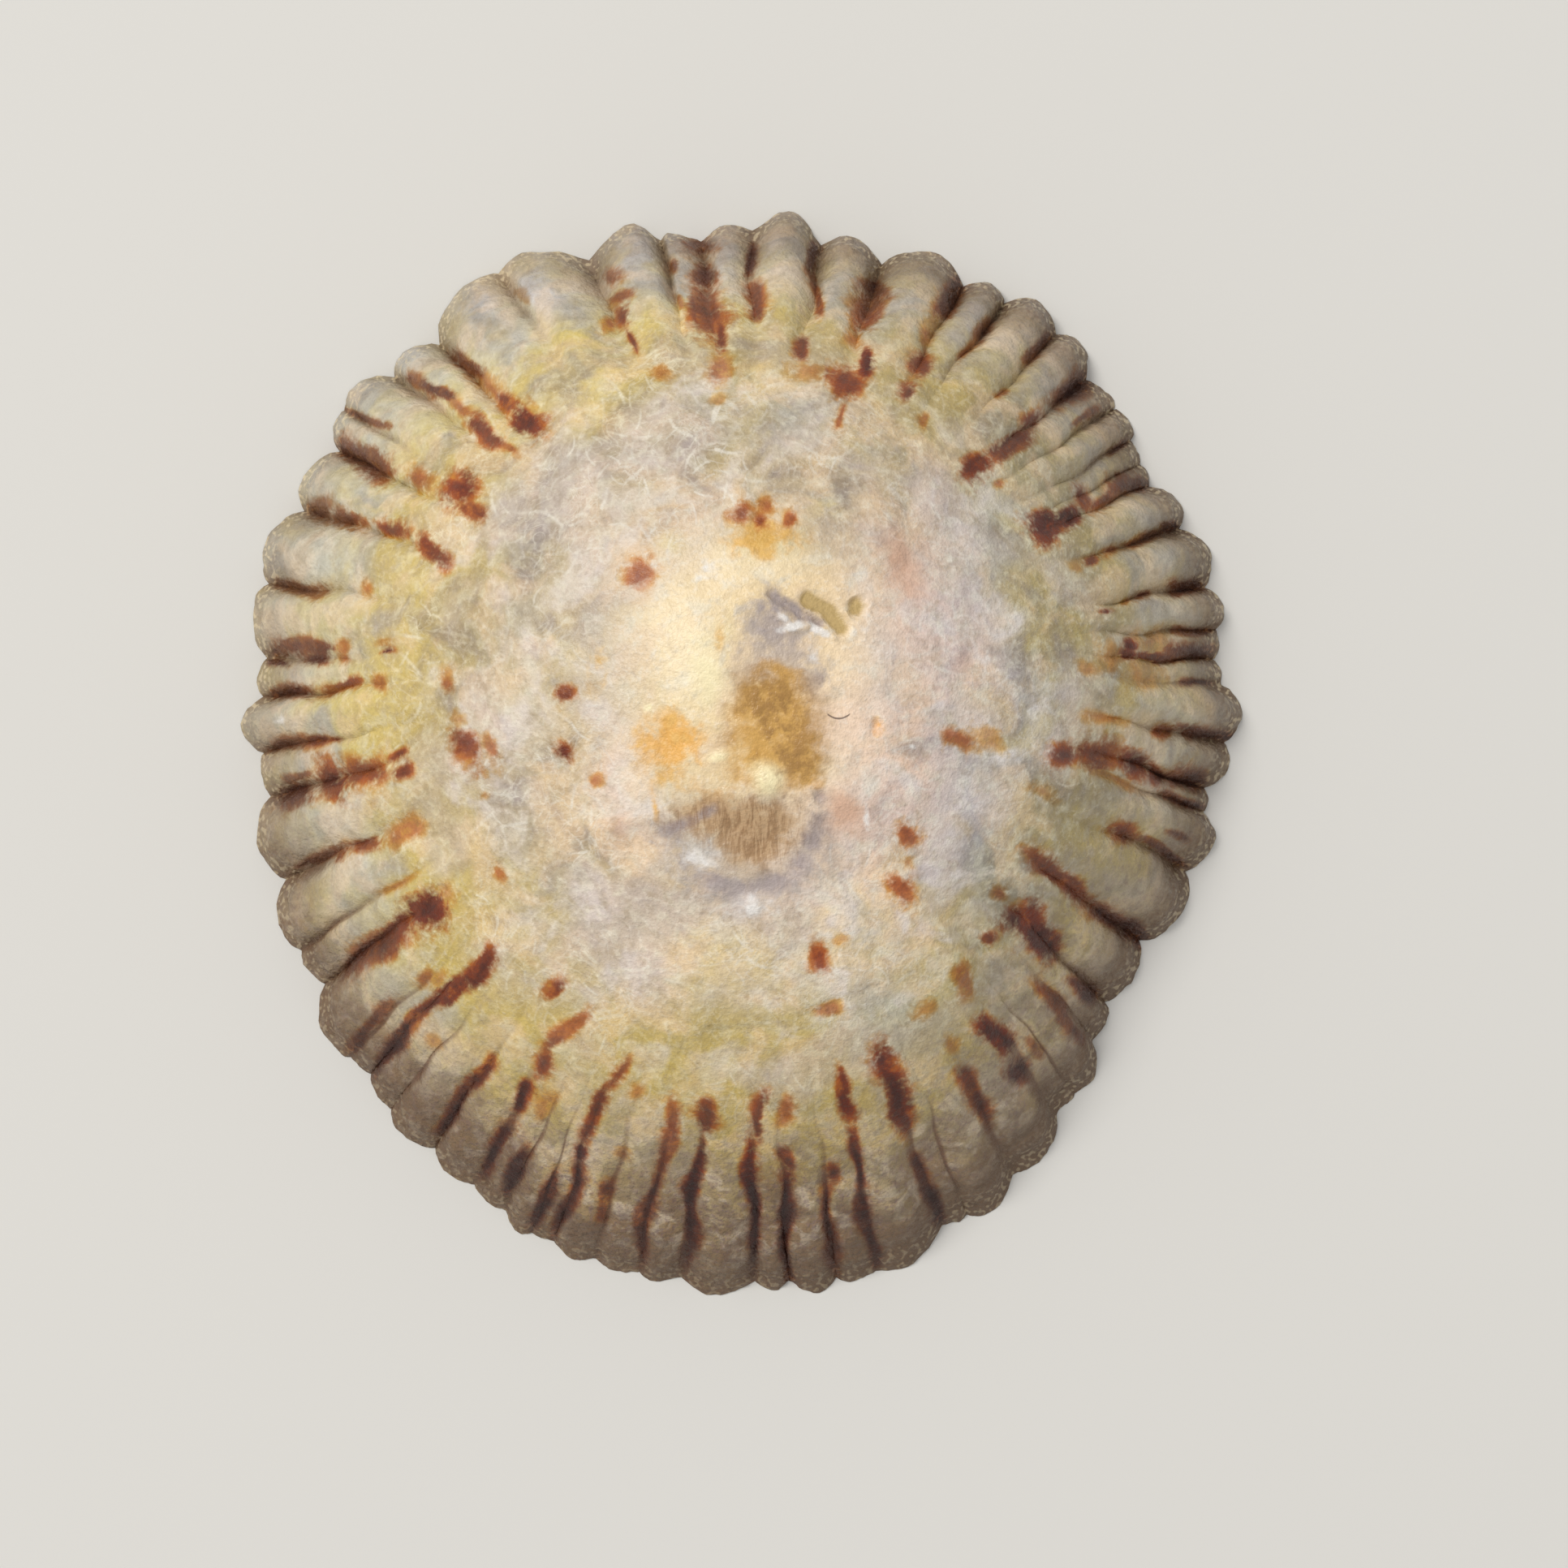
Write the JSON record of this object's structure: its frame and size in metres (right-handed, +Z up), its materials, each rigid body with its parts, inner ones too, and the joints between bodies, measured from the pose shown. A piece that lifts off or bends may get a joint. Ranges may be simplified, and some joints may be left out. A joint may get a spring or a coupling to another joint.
{
  "type": "limpet shell",
  "caption": "Empty limpet shell: a low oval cone with radiating ribs and a scalloped rim, off-centre apex, hollow underneath, resting on its rim.",
  "frame": {"origin": "in the plane of the rim, under the middle of the shell's outline", "axes": "+Z up through the shell from the rim plane, +Y toward the front end, which the apex is nearest to, +X to the right when seen from above with the front end away"},
  "size_m": [0.0222, 0.024, 0.008],
  "materials": {
    "shell": "matte"
  },
  "bodies": {
    "root": {"limpet_shell": "shell"}
  },
  "joints": []
}
